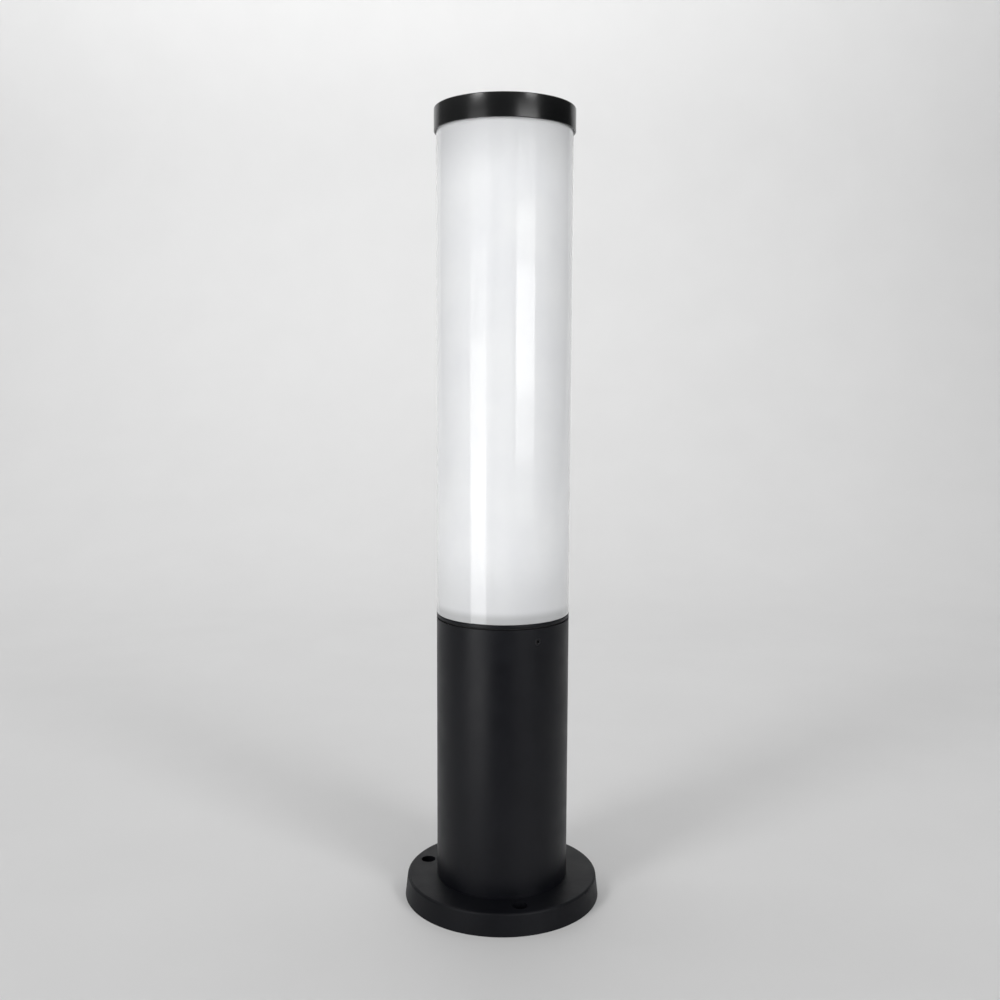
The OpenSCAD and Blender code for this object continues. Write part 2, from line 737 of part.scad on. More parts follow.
module collar_gasket() color("#242424") ring(post_r - 0.9, skirt_r + 0.1, post_top_z, collar_z);

// Opal tube of the head
module diffuser() color("#eef0f2", 0.9) ring(diffuser_r, diffuser_in_r, seam_z, diffuser_top_z);

// A sealing ring in the collar's groove, against the opal tube
module diffuser_seal() color("#3a3a3a")
    ring(diffuser_in_r - thread_gap, groove_r + thread_gap, groove_z + seal_squeeze,
        groove_z + groove_h - seal_squeeze);

module cap_seal() color("#3a3a3a") ring(diffuser_r, diffuser_in_r + 0.4, diffuser_top_z, cap_under_z);

cap_skirt_in_r = diffuser_r + slide_gap;
cap_r = cap_skirt_in_r + cap_wall;
cap_ring_in_r = spigot_r - 2.2;
cap_ring_z = cap_under_z - cap_ring_h;

// A turned cap whose skirt covers the top of the opal tube, with an inner ring that centres it
module top_cap() color("#191a1b") rotate_extrude() {
    polygon([
        [0, cap_under_z], [cap_ring_in_r, cap_under_z], [cap_ring_in_r, cap_ring_z],
        [spigot_r - lead_in, cap_ring_z], [spigot_r, cap_ring_z + lead_in], [spigot_r, cap_under_z],
        [cap_skirt_in_r, cap_under_z], [cap_skirt_in_r, cap_low_z], [cap_r - edge_break, cap_low_z],
        [cap_r, cap_low_z + edge_break], [cap_r, total_h - cap_edge_r],
        [cap_r - cap_edge_r, total_h], [0, total_h]
    ]);
    translate([cap_r - cap_edge_r, total_h - cap_edge_r]) circle(r = cap_edge_r);
}

// ---------------------------------------------------------------- lamp

lamp_r = lamp_d / 2;
neck_r = 13.8;
housing_t = 1.8;
dome_t = 1.2;
body_top_z = lamp_seat_z + lamp_body_h;
cap_foot_r = 11.2;
cap_plain_r = 13.2;
thread_foot_z = cap_foot_z + 0.8;
thread_top_z = shell_top_z + 3;

// Solder dot on the bottom of the lamp
module lamp_contact() color("#c8c9cb") translate([0, 0, contact_z]) rotate_extrude()
    polygon([[0, 0], [2.4, 0], [3.9, 0.7], [4.5, contact_h], [0, contact_h]]);

// Black glass between the solder dot and the screw shell
module lamp_insulator() color("#151515") translate([0, 0, contact_z + contact_h])
    cylinder(r1 = 6.2, r2 = cap_foot_r - fit_gap, h = insulator_h);

// Radius of the lamp's metal cap at a level and an angle
function male_r(z, a) =
    z < thread_foot_z - thread_gap ? cap_foot_r :
    z > thread_top_z + thread_gap ? cap_plain_r :
    male_root_r + fade(z, thread_foot_z, thread_top_z) * thread_wave(z, a);

// The lamp's nickel-plated cap, with the Edison thread rolled into it
module lamp_cap() color("#c9ccd0") {
    n = thread_sides;
    rows = thread_rows(thread_foot_z, thread_top_z);
    dz = (thread_top_z - thread_foot_z) / rows;
    levels = concat([cap_foot_z], [for (j = [0:rows]) thread_foot_z + j * dz],
        [thread_top_z + 0.8, lamp_seat_z]);
    top = len(levels) - 1;
    foot_c = (top + 1) * n;
    top_c = foot_c + 1;
    points = concat([for (z = levels, i = [0:n - 1]) turn(male_r(z, 360 * i / n), 360 * i / n, z)],
                    [[0, 0, cap_foot_z], [0, 0, lamp_seat_z]]);
    walls = [for (j = [0:top - 1], i = [0:n - 1]) let (k = (i + 1) % n)
        [j * n + i, (j + 1) * n + i, (j + 1) * n + k, j * n + k]];
    ends = [for (i = [0:n - 1]) let (k = (i + 1) % n) each [[foot_c, i, k],
        [top_c, top * n + k, top * n + i]]];
    polyhedron(points, concat(walls, ends), convexity = 8);
}

flare_steps = 12;

// Points up a housing wall that flares slowly from the neck's radius to the widest ring's
function flare_points(r0, r1, z0, z1) = [for (i = [0:flare_steps]) let (t = i / flare_steps)
    [r0 + (r1 - r0) * (1 - cos(180 * pow(t, 0.9))) / 2, z0 + t * (z1 - z0)]];

function reversed(v) = [for (i = [len(v) - 1:-1:0]) v[i]];

// The lamp's plastic housing: a flared shell with a floor
module lamp_body() color("#f2f2f0") {
    outside = flare_points(neck_r, lamp_r, lamp_seat_z, body_top_z);
    inside = flare_points(neck_r - housing_t, lamp_r - housing_t, lamp_seat_z + housing_t, body_top_z);
    rotate_extrude()
        polygon(concat([[0, lamp_seat_z]], outside, reversed(inside), [[0, lamp_seat_z + housing_t]]));
}

board_t = 1.6;
board_r = lamp_r - housing_t - 1.2;
board_z = body_top_z - 0.3 - board_t;
chip_size = [3.5, 2.8, 0.8];
chip_c = 0.62 * board_r;
chip_count = 10;

module led_board() color("#dfe1e4") translate([0, 0, board_z]) difference() {
    cylinder(r = board_r, h = board_t);
    plate_hole(2, board_t);
}

// Emitters in a circle on the board
module led_chips() color("#e9c85a") for (i = [0:chip_count - 1])
    rotate(360 * i / chip_count) translate([chip_c - chip_size[0] / 2, -chip_size[1] / 2, board_z + board_t])
        cube(chip_size);

driver_w = 18;
driver_t = 1.6;
driver_z = lamp_seat_z + housing_t + fit_gap;
capacitor_r = 3.5;
coil_size = [8, 6, 8];

module driver_board() color("#2f7a4a")
    translate([-driver_w / 2, -driver_t / 2, driver_z])
        cube([driver_w, driver_t, board_z - fit_gap - driver_z]);

// The driver's larger parts: a round capacitor and a small transformer
module driver_parts() color("#46474a") {
    translate([-capacitor_r, -driver_t / 2, driver_z + 10]) rotate([90, 0, 0])
        cylinder(r = capacitor_r, h = 6);
    translate([-1, driver_t / 2, driver_z + 18]) cube(coil_size);
}

dome_steps = 14;

// A quarter of an ellipse, from the rim up to the top
function dome_points(r, h) = [for (i = [0:dome_steps]) let (a = 90 * i / dome_steps)
    [i == dome_steps ? 0 : r * cos(a), body_top_z + h * sin(a)]];

module lamp_dome() color("#f7f7f5", 0.9) rotate_extrude() polygon(concat(
    dome_points(lamp_r, lamp_dome_h), reversed(dome_points(lamp_r - dome_t, lamp_dome_h - dome_t))));

// ---------------------------------------------------------------- what is drawn

base_flange();
base_screws();
post_tube();
cable_grommet();
lamp_tray();
tray_screws();
tray_grommet();
holder_bracket();
bracket_screws();
bracket_nuts();
holder_body();
holder_screws();
screw_shell();
shell_tab();
centre_contact();
holder_terminals();
holder_terminal_screws();
terminal_block();
terminal_inserts();
terminal_screws();
block_screws();
lead_live();
lead_neutral();
lead_earth();
lead_conductors();
earth_ring();
earth_washer();
earth_screw();
head_collar();
collar_gasket();
diffuser();
diffuser_seal();
cap_seal();
top_cap();
lamp_contact();
lamp_insulator();
lamp_cap();
lamp_body();
lamp_dome();
led_board();
led_chips();
driver_board();
driver_parts();
grub_screw_a();
grub_screw_b();
grub_screw_c();
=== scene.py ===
import json
from math import cos, exp, pi, radians, sin

import bmesh
import bpy
import numpy as np
from mathutils import Matrix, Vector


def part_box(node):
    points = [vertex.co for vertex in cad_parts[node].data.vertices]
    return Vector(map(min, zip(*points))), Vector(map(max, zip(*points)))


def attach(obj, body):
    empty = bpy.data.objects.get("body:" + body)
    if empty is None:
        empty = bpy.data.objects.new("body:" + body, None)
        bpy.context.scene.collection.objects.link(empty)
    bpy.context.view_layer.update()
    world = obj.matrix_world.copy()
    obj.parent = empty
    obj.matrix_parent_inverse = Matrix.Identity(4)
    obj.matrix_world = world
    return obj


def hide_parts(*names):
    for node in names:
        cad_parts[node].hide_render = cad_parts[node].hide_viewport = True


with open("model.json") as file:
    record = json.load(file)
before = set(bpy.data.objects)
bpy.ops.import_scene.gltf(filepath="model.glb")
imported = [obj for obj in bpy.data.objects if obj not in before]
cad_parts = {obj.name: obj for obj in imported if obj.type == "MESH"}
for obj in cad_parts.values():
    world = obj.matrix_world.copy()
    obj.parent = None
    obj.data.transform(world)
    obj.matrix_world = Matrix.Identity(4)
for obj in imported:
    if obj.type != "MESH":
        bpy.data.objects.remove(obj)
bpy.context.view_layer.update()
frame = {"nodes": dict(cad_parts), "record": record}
mm = 0.001
bodies = frame["record"]["behaviour"]["bodies"]
body_of = {node: body for body, members in bodies.items() for node in members}

# ---------------------------------------------------------------- camera
# The light is seen from a little to the left of its front anchor hole, from two thirds of its height,
# with the camera tipped down so that the base shows as a broad ellipse.

camera_turn = radians(-12.6)
camera_distance = 0.628
camera_height = 0.3014
camera_pitch = 0.108
camera_yaw = -0.003
camera_roll = 0.004
camera_data = bpy.data.cameras.new("camera")
camera_data.sensor_width = 36
camera_data.lens = 39.716
camera = bpy.data.objects.new("camera", camera_data)
bpy.context.scene.collection.objects.link(camera)
bpy.context.scene.camera = camera


def turned(point, angle):
    """A point turned about +Z: x cos - y sin, x sin + y cos."""
    x, y, z = point
    return np.array((x * cos(angle) - y * sin(angle), x * sin(angle) + y * cos(angle), z))


ahead = turned((sin(camera_yaw) * cos(camera_pitch), cos(camera_yaw) * cos(camera_pitch), -sin(camera_pitch)),
               camera_turn)
level = turned((cos(camera_yaw), -sin(camera_yaw), 0), camera_turn)
upright = np.cross(level, ahead)
right = cos(camera_roll) * level + sin(camera_roll) * upright
above = cos(camera_roll) * upright - sin(camera_roll) * level
stand = turned((0, -camera_distance, camera_height), camera_turn)
placed = np.eye(4)
placed[:3] = np.column_stack((right, above, -ahead, stand))
camera.matrix_world = Matrix(placed.tolist())

# ---------------------------------------------------------------- base
# A pressure die-cast aluminium plate with a ribbed, hollow underside, powder-coated black. It bears on the
# ground with its rim, ribs clear, and its three anchor holes take the bolts of the footing.


def linear(code):
    """An sRGB hex colour as linear values and an alpha of 1: c / 12.92 up to 0.04045, and above that
    ((c + 0.055) / 1.055) ^ 2.4."""
    parts = [int(code[i:i + 2], 16) / 255 for i in (1, 3, 5)]
    return [c / 12.92 if c <= 0.04045 else ((c + 0.055) / 1.055) ** 2.4 for c in parts] + [1.0]


def per(size_mm):
    """Scale of a pattern that repeats every size_mm millimetres on coordinates in metres."""
    return 1 / (size_mm * mm)


def add(tree, kind, inputs=None, **settings):
    """Adds a node, sets its properties and fills its inputs: a socket is linked, all else is a value."""
    node = tree.nodes.new(kind)
    for key, value in settings.items():
        setattr(node, key, value)
    for key, value in (inputs or {}).items():
        if isinstance(value, bpy.types.NodeSocket):
            tree.links.new(value, node.inputs[key])
        else:
            node.inputs[key].default_value = value
    return node


def finish_of(name, colour, **inputs):
    """Starts a material: its tree, its Principled shader and the surface's own coordinates."""
    material = bpy.data.materials.new(name)
    material.use_nodes = True
    tree = material.node_tree
    shader = tree.nodes["Principled BSDF"]
    shader.inputs["Base Color"].default_value = linear(colour)
    for key, value in inputs.items():
        shader.inputs[key.replace("_", " ")].default_value = value
    place = add(tree, "ShaderNodeTexCoord").outputs["Object"]
    return material, tree, shader, place


def tint(tree, factor, low, high):
    """A colour between two sRGB hex colours, by a factor socket."""
    ramp = add(tree, "ShaderNodeMix", {0: factor}, data_type="RGBA")
    ramp.inputs[6].default_value = linear(low)
    ramp.inputs[7].default_value = linear(high)
    return ramp.outputs[2]


def spread(tree, value, low, high, start=0.3, end=0.7):
    """A factor stretched from start..end to low..high."""
    inputs = {"Value": value, "From Min": start, "From Max": end, "To Min": low, "To Max": high}
    return add(tree, "ShaderNodeMapRange", inputs).outputs["Result"]


def shaded(tree, shader, pattern, low, high):
    """Colours a surface between two sRGB hex colours by a pattern whose values lie mostly in 0.3..0.7."""
    tree.links.new(tint(tree, spread(tree, pattern, 0, 1), low, high), shader.inputs["Base Color"])


def raised(tree, shader, height, depth_mm, strength=1.0):
    """Bumps the shader's normal by a height of 0 to 1 that stands depth_mm high."""
    bump = add(tree, "ShaderNodeBump", {"Height": height, "Distance": depth_mm * mm, "Strength": strength})
    tree.links.new(bump.outputs["Normal"], shader.inputs["Normal"])


def powder_coat(name, colour, pale, grain_mm, depth_mm, roughness, shine):
    """Polyester powder coat: black, with the fine orange peel of melted grains and a satin gloss."""
    material, tree, shader, place = finish_of(name, colour, IOR=1.5, Specular_IOR_Level=shine)
    peel = add(tree, "ShaderNodeTexNoise",
               {"Vector": place, "Scale": per(grain_mm), "Detail": 3.0, "Roughness": 0.55})
    cloud = add(tree, "ShaderNodeTexNoise", {"Vector": place, "Scale": per(14), "Detail": 3.0})
    speck = add(tree, "ShaderNodeTexNoise", {"Vector": place, "Scale": per(0.5), "Detail": 1.0})
    mottled = add(tree, "ShaderNodeMath", {0: cloud.outputs[0], 1: speck.outputs[0]}, operation="MULTIPLY")
    tree.links.new(tint(tree, spread(tree, mottled.outputs[0], 0, 1, 0.1, 0.45), colour, pale),
                   shader.inputs["Base Color"])
    tree.links.new(spread(tree, cloud.outputs[0], roughness - 0.04, roughness + 0.05),
                   shader.inputs["Roughness"])
    raised(tree, shader, peel.outputs[0], depth_mm)
    return material


def skin(obj, material):
    """Puts one material on a mesh, on all its faces."""
    obj.data.materials.clear()
    obj.data.materials.append(material)


def soften(obj, angle):
    """Shades a mesh smooth, but for edges that turn by more than an angle."""
    mesh = obj.data
    mesh.polygons.foreach_set("use_smooth", np.ones(len(mesh.polygons), bool))
    mesh.set_sharp_from_angle(angle=radians(angle))


def settle(obj, node, material, angle=32):
    """Ends a piece that stands for a CAD node: it gets a finish, smooth shading and the node's body, and the
    node is hidden.
    """
    skin(obj, material)
    soften(obj, angle)
    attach(obj, body_of[node])
    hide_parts(node)


def edged(node, name, material, width_mm, angle=32):
    """A node's shape, its triangles joined and every edge that turns by more than an angle rounded off."""
    mesh = frame["nodes"][node].data.copy()
    mesh.name = name
    shape = bmesh.new()
    shape.from_mesh(mesh)
    bmesh.ops.remove_doubles(shape, verts=shape.verts, dist=0.002 * mm)
    bmesh.ops.dissolve_limit(shape, angle_limit=radians(0.5), verts=shape.verts, edges=shape.edges)
    shape.to_mesh(mesh)
    shape.free()
    if mesh.has_custom_normals:
        mesh.attributes.remove(mesh.attributes["custom_normal"])
    obj = bpy.data.objects.new(name, mesh)
    bpy.context.scene.collection.objects.link(obj)
    settle(obj, node, material, angle)
    bevel = obj.modifiers.new("edge", "BEVEL")
    bevel.width = width_mm * mm
    bevel.segments = 2
    bevel.limit_method = "ANGLE"
    bevel.angle_limit = radians(angle)
    bevel.use_clamp_overlap = True


cast_coat = powder_coat("powder_coated_casting", "#090a0e", "#0e0f14", 1.1, 0.05, 0.46, 0.16)
edged("base_flange", "base_casting", cast_coat, 0.25)

# ---------------------------------------------------------------- screws
# Bright zinc-plated steel screws with slotted pan heads: three hold the post to the base from below, three
# the tray, two the bracket, and the rest the lampholder, the terminals and the block.


def zinc_plate():
    """Bright zinc on steel: a cool, slightly cloudy metal with fine turning lines on the heads."""
    material, tree, shader, place = finish_of("zinc_plated_steel", "#b9bdc2", Metallic=1.0)
    cloud = add(tree, "ShaderNodeTexNoise", {"Vector": place, "Scale": per(2.5), "Detail": 4.0})
    tree.links.new(tint(tree, cloud.outputs[0], "#a9adb1", "#cdd0d3"), shader.inputs["Base Color"])
    tree.links.new(spread(tree, cloud.outputs[0], 0.22, 0.38), shader.inputs["Roughness"])
    fine = add(tree, "ShaderNodeTexNoise", {"Vector": place, "Scale": per(0.25), "Detail": 2.0})
    raised(tree, shader, fine.outputs[0], 0.006)
    return material


zinc = zinc_plate()
for node, name in {"base_screws": "base_screw_set", "tray_screws": "tray_screw_set",
                   "bracket_screws": "bracket_screw_set", "bracket_nuts": "bracket_nut_pair",
                   "holder_screws": "holder_screw_set",
                   "holder_terminal_screws": "holder_terminal_screw_set",
                   "terminal_screws": "terminal_screw_set", "block_screws": "block_screw_set",
                   "earth_washer": "earth_spring_washer"}.items():
    edged(node, name, zinc, 0.12)

# ---------------------------------------------------------------- post
# A length of extruded aluminium tube, powder-coated black after its ends were sawn. Three screw channels run
# down its inside, milled away at the top where the tray and the collar go in.

tube_coat = powder_coat("powder_coated_tube", "#08090e", "#0c0d13", 0.8, 0.035, 0.41, 0.23)
edged("post_tube", "extruded_tube", tube_coat, 0.15)

# ---------------------------------------------------------------- rubber
# Moulded black EPDM: the grommets of the base and the tray, the gasket between collar and post, the seals.
# The grommets snap into their holes by a groove, and the others are held between the pieces that they seal.


def rubber():
    """Moulded EPDM: matt near-black with a grey bloom and the fine stipple of a blasted mould."""
    material, tree, shader, place = finish_of("moulded_rubber", "#1a1a1a", Roughness=0.72, IOR=1.5)
    bloom = add(tree, "ShaderNodeTexNoise", {"Vector": place, "Scale": per(5), "Detail": 5.0})
    shaded(tree, shader, bloom.outputs[0], "#151515", "#262624")
    stipple = add(tree, "ShaderNodeTexVoronoi", {"Vector": place, "Scale": per(0.35)})
    raised(tree, shader, stipple.outputs["Distance"], 0.03, 0.6)
    return material


epdm = rubber()
for node in ("cable_grommet", "tray_grommet"):
    edged(node, node.replace("grommet", "bush"), epdm, 0.25)

# ---------------------------------------------------------------- tray and bracket
# Zinc-plated sheet steel, punched and folded: a round tray on the ends of the channels, and the strip that
# holds the lampholder up at the middle of the opal tube.


def plated_sheet():
    """Rolled and zinc-plated sheet: soft cloudy grey with long faint rolling lines along X."""
    material, tree, shader, place = finish_of("plated_sheet_steel", "#a6abb0", Metallic=1.0)
    along = add(tree, "ShaderNodeMapping", {"Vector": place, "Scale": (0.04, 1.0, 1.0)}).outputs[0]
    lines = add(tree, "ShaderNodeTexNoise", {"Vector": along, "Scale": per(0.5), "Detail": 3.0})
    cloud = add(tree, "ShaderNodeTexNoise", {"Vector": place, "Scale": per(7), "Detail": 4.0})
    shaded(tree, shader, cloud.outputs[0], "#8f9498", "#b7bbbf")
    tree.links.new(spread(tree, lines.outputs[0], 0.3, 0.46), shader.inputs["Roughness"])
    raised(tree, shader, lines.outputs[0], 0.006)
    return material


sheet_steel = plated_sheet()
edged("lamp_tray", "punched_tray", sheet_steel, 0.15)
edged("holder_bracket", "folded_bracket", sheet_steel, 0.2)

# ---------------------------------------------------------------- lampholder
# A pressed and glazed porcelain body, white with rounded edges. Brass strips in it lead from the terminal
# pockets to the threaded shell and to the springy centre contact.


def porcelain():
    """Glazed electrical porcelain: warm white under a clear glass coat, gently wavy."""
    material, tree, shader, place = finish_of("glazed_porcelain", "#ece9e0", Roughness=0.32, IOR=1.54)
    shader.inputs["Coat Weight"].default_value = 0.8
    shader.inputs["Coat Roughness"].default_value = 0.08
    shader.inputs["Subsurface Weight"].default_value = 0.15
    shader.inputs["Subsurface Scale"].default_value = 0.001
    cloud = add(tree, "ShaderNodeTexNoise", {"Vector": place, "Scale": per(9), "Detail": 2.0})
    shaded(tree, shader, cloud.outputs[0], "#e6e2d7", "#f0eee6")
    raised(tree, shader, cloud.outputs[0], 0.12)
    return material


def dulled_brass():
    """Stamped brass, a little dulled: browner where it was handled, with fine draw lines."""
    material, tree, shader, place = finish_of("stamped_brass", "#c8a860", Metallic=1.0)
    cloud = add(tree, "ShaderNodeTexNoise", {"Vector": place, "Scale": per(3), "Detail": 5.0})
    shaded(tree, shader, cloud.outputs[0], "#a98a4c", "#d6b972")
    tree.links.new(spread(tree, cloud.outputs[0], 0.2, 0.4), shader.inputs["Roughness"])
    fine = add(tree, "ShaderNodeTexNoise", {"Vector": place, "Scale": per(0.3), "Detail": 2.0})
    raised(tree, shader, fine.outputs[0], 0.006)
    return material


edged("holder_body", "porcelain_body", porcelain(), 0.5)
brass = dulled_brass()
for node, name in {"shell_tab": "neutral_strip", "centre_contact": "live_spring",
                   "terminal_inserts": "pole_inserts", "holder_terminals": "terminal_plates",
                   "earth_ring": "ring_terminal", "earth_screw": "earthing_screw"}.items():
    edged(node, name, brass, 0.1)

# The threaded shell is rolled from thin brass sheet. The thread is a rounded wave: its radius swings once
# for each pitch of height or turn of angle, and fades out over half a pitch at both ends.

thread_pitch = 3.629 * mm
thread_depth = 1.1 * mm
thread_sides = 144
rows_per_pitch = 16


def grid_faces(rows, columns, closed_rows):
    """Quads between neighbouring points of a grid whose columns close up, and whose rows may."""
    starts = np.arange(rows if closed_rows else rows - 1)
    row, column = np.meshgrid(starts, np.arange(columns), indexing="ij")
    across = (column + 1) % columns
    up = (row + 1) % rows
    corners = (row * columns + column, row * columns + across, up * columns + across, up * columns + column)
    return np.stack(corners, -1).reshape(-1, 4)


def surface(name, points, faces):
    """A mesh from a grid of points in metres, with doubled points merged and its faces looking outwards."""
    mesh = bpy.data.meshes.new(name)
    mesh.from_pydata(points.reshape(-1, 3), [], faces)
    shape = bmesh.new()
    shape.from_mesh(mesh)
    bmesh.ops.remove_doubles(shape, verts=shape.verts, dist=0.001 * mm)
    bmesh.ops.dissolve_degenerate(shape, dist=0.0005 * mm, edges=shape.edges)
    bmesh.ops.recalc_face_normals(shape, faces=shape.faces)
    shape.to_mesh(mesh)
    shape.free()
    obj = bpy.data.objects.new(name, mesh)
    bpy.context.scene.collection.objects.link(obj)
    return obj


def wave(height, angle):
    """The thread's depth: half its full depth times 1 + cos(2 pi height / pitch - angle)."""
    return thread_depth / 2 * (1 + np.cos(2 * pi * height / thread_pitch - angle))


def fading(height, low, high):
    """1 in the middle of a stretch of thread, falling to 0 over half a pitch at both ends."""
    ends = np.minimum(height - low, high - height) / (thread_pitch / 2)
    return np.clip(ends, 0, 1)


def threaded(rows, radius):
    """Points round the axis whose radius is a function of height and angle: (r cos a, r sin a, z)."""
    angle = np.arange(thread_sides) * 2 * pi / thread_sides
    height, around = np.meshgrid(rows, angle, indexing="ij")
    r = radius(height, around)
    return np.stack((r * np.cos(around), r * np.sin(around), height), -1)


shell_low, shell_high = (corner[2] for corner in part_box("screw_shell"))
shell_outer = 14 * mm
shell_crest = 13.53 * mm
shell_steps = int((shell_high - shell_low) / thread_pitch * rows_per_pitch)
shell_rows = np.linspace(shell_low, shell_high, shell_steps)


def shell_inside(height, angle):
    """The crest's radius, less what the thread's wave leaves of its depth."""
    return shell_crest - fading(height, shell_low, shell_high) * (thread_depth - wave(height, angle))


def shell_outside(height, angle):
    """The same radius at every height and angle."""
    return np.full_like(height + angle, shell_outer)


shell_points = np.concatenate((threaded(shell_rows, shell_inside), threaded(shell_rows[::-1], shell_outside)))
shell = surface("rolled_shell", shell_points, grid_faces(len(shell_points), thread_sides, True))
settle(shell, "screw_shell", brass)

# ---------------------------------------------------------------- terminal block and leads
# The block is moulded in natural polyamide. Its leads are silicone-covered copper: brown for live, blue for
# neutral, green and yellow for earth. Two rise to the lampholder, and the third ends in the ring terminal.


def polyamide():
    """Natural polyamide: translucent cream, satin from the mould."""
    material, tree, shader, place = finish_of("natural_polyamide", "#e3ddcb", Roughness=0.45, IOR=1.53)
    shader.inputs["Subsurface Weight"].default_value = 0.4
    shader.inputs["Subsurface Scale"].default_value = 0.002
    cloud = add(tree, "ShaderNodeTexNoise", {"Vector": place, "Scale": per(6), "Detail": 3.0})
    shaded(tree, shader, cloud.outputs[0], "#dcd5c1", "#e9e4d4")
    fine = add(tree, "ShaderNodeTexNoise", {"Vector": place, "Scale": per(0.4), "Detail": 2.0})
    raised(tree, shader, fine.outputs[0], 0.01)
    return material


edged("terminal_block", "moulded_block", polyamide(), 0.25)

tray_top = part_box("lamp_tray")[1][2]
lead_r = 1.2 * mm
lead_sides = 20
lead_shading = 50
route_steps = 8
live_route = [
    (-12, 8.8, 5.4), (-12, 12, 5.4), (-12, 15, 5.8), (-12, 18, 7.4), (-12, 20.4, 10), (-11.8, 22, 13.4),
    (-11.5, 23, 18), (-11.2, 23.4, 24), (-11, 23.6, 30), (-10.8, 23.6, 36), (-10.6, 23.4, 42),
    (-10.4, 23, 47), (-10.2, 22.2, 51.5), (-9.9, 20.9, 55.1), (-9.8, 19.2, 57.2), (-9.7, 17.8, 58.4)]
neutral_route = [
    (0, 8.8, 5.4), (0, 12, 5.4), (0.1, 15, 5.8), (0.4, 18, 7.4), (1, 20.4, 10), (2, 22, 13.4),
    (3.6, 23, 18), (5.8, 23.6, 24), (7.8, 23.8, 30), (9.4, 23.7, 36), (10.3, 23.4, 42),
    (10.5, 23, 47), (10.2, 22.2, 51.5), (9.9, 20.9, 55.1), (9.8, 19.2, 57.2), (9.7, 17.8, 58.4)]
earth_route = [
    (12, 8.8, 5.4), (12, 9.6, 5.3), (12, 10.4, 4.7), (12, 11.2, 3.7), (12, 11.9, 2.9), (12, 12.6, 2.7),
    (12, 16.4, 2.7)]


def smooth_path(route):
    """A Catmull-Rom curve through the route's points: on each stretch, half of 2 p1 + (p2 - p0) t +
    (2 p0 - 5 p1 + 4 p2 - p3) t^2 + (3 p1 - p0 - 3 p2 + p3) t^3."""
    p = np.array(route, float)
    p = np.vstack((2 * p[0] - p[1], p, 2 * p[-1] - p[-2]))
    p0, p1, p2, p3 = (p[i:len(p) - 3 + i, None] for i in range(4))
    t = (np.arange(route_steps) / route_steps)[None, :, None]
    curve = 0.5 * (2 * p1 + (p2 - p0) * t + (2 * p0 - 5 * p1 + 4 * p2 - p3) * t ** 2
                   + (3 * p1 - p0 - 3 * p2 + p3) * t ** 3)
    return np.vstack((curve.reshape(-1, 3), route[-1]))


def swept(name, route, radius):
    """A round tube along a smooth path, with flat ends: centre + r (cos a u + sin a w), across the path.
    Its UV map runs once round it, and in metres along it."""
    path = smooth_path(route) * mm + (0, 0, tray_top)
    ahead = np.gradient(path, axis=0)
    ahead /= np.linalg.norm(ahead, axis=1, keepdims=True)
    u = np.cross((1, 0, 0), ahead)
    u /= np.linalg.norm(u, axis=1, keepdims=True)
    w = np.cross(ahead, u)
    angle = np.arange(lead_sides) * 2 * pi / lead_sides
    rim = radius * (np.cos(angle)[None, :, None] * u[:, None] + np.sin(angle)[None, :, None] * w[:, None])
    reach = np.concatenate(([0], np.ones(len(path)), [0]))
    centres = np.concatenate((path[:1], path, path[-1:]))
    rims = np.concatenate((rim[:1], rim, rim[-1:]))
    points = centres[:, None] + reach[:, None, None] * rims
    obj = surface(name, points, grid_faces(len(points), lead_sides, False))
    mesh = obj.data
    place = np.empty(len(mesh.vertices) * 3)
    mesh.vertices.foreach_get("co", place)
    place = place.reshape(-1, 3)
    near = np.argmin(((place[:, None] - path[None]) ** 2).sum(-1), 1)
    length = np.concatenate(([0], np.cumsum(np.linalg.norm(np.diff(path, axis=0), axis=1))))
    offset = place - path[near]
    around = np.arctan2((offset * w[near]).sum(1), (offset * u[near]).sum(1)) / (2 * pi)
    corner = np.empty(len(mesh.loops), int)
    mesh.loops.foreach_get("vertex_index", corner)
    layer = mesh.uv_layers.new(name="UVMap")
    layer.data.foreach_set("uv", np.stack((around[corner], length[near][corner]), -1).ravel())
    return obj


def silicone(name, colour, pale):
    """Silicone insulation: soft satin, with a faint waxy bloom."""
    material, tree, shader, place = finish_of(name, colour, Roughness=0.48, IOR=1.43)
    bloom = add(tree, "ShaderNodeTexNoise", {"Vector": place, "Scale": per(2.2), "Detail": 4.0})
    shaded(tree, shader, bloom.outputs[0], colour, pale)
    raised(tree, shader, bloom.outputs[0], 0.02)
    return material


def striped_silicone():
    """Earth insulation: green with a yellow stripe that winds round it once every 12 mm."""
    material, tree, shader, place = finish_of("green_yellow_silicone", "#4f8f2e", Roughness=0.48, IOR=1.43)
    where = add(tree, "ShaderNodeSeparateXYZ", {0: add(tree, "ShaderNodeUVMap").outputs[0]})
    wound = add(tree, "ShaderNodeMath", {0: where.outputs[1], 1: per(12), 2: where.outputs[0]},
                operation="MULTIPLY_ADD")
    turn = add(tree, "ShaderNodeMath", {0: wound.outputs[0]}, operation="FRACT")
    band = add(tree, "ShaderNodeMath", {0: turn.outputs[0], 1: 0.62}, operation="GREATER_THAN")
    tree.links.new(tint(tree, band.outputs[0], "#3f8f35", "#e0c72c"), shader.inputs["Base Color"])
    bloom = add(tree, "ShaderNodeTexNoise", {"Vector": place, "Scale": per(2.2), "Detail": 4.0})
    raised(tree, shader, bloom.outputs[0], 0.02)
    return material


brown = silicone("brown_silicone", "#5b3420", "#6a3f28")
settle(swept("live_lead", live_route, lead_r), "lead_live", brown, lead_shading)
blue = silicone("blue_silicone", "#2a5ba8", "#3468b6")
settle(swept("neutral_lead", neutral_route, lead_r), "lead_neutral", blue, lead_shading)
settle(swept("earth_lead", earth_route, lead_r), "lead_earth", striped_silicone(), lead_shading)


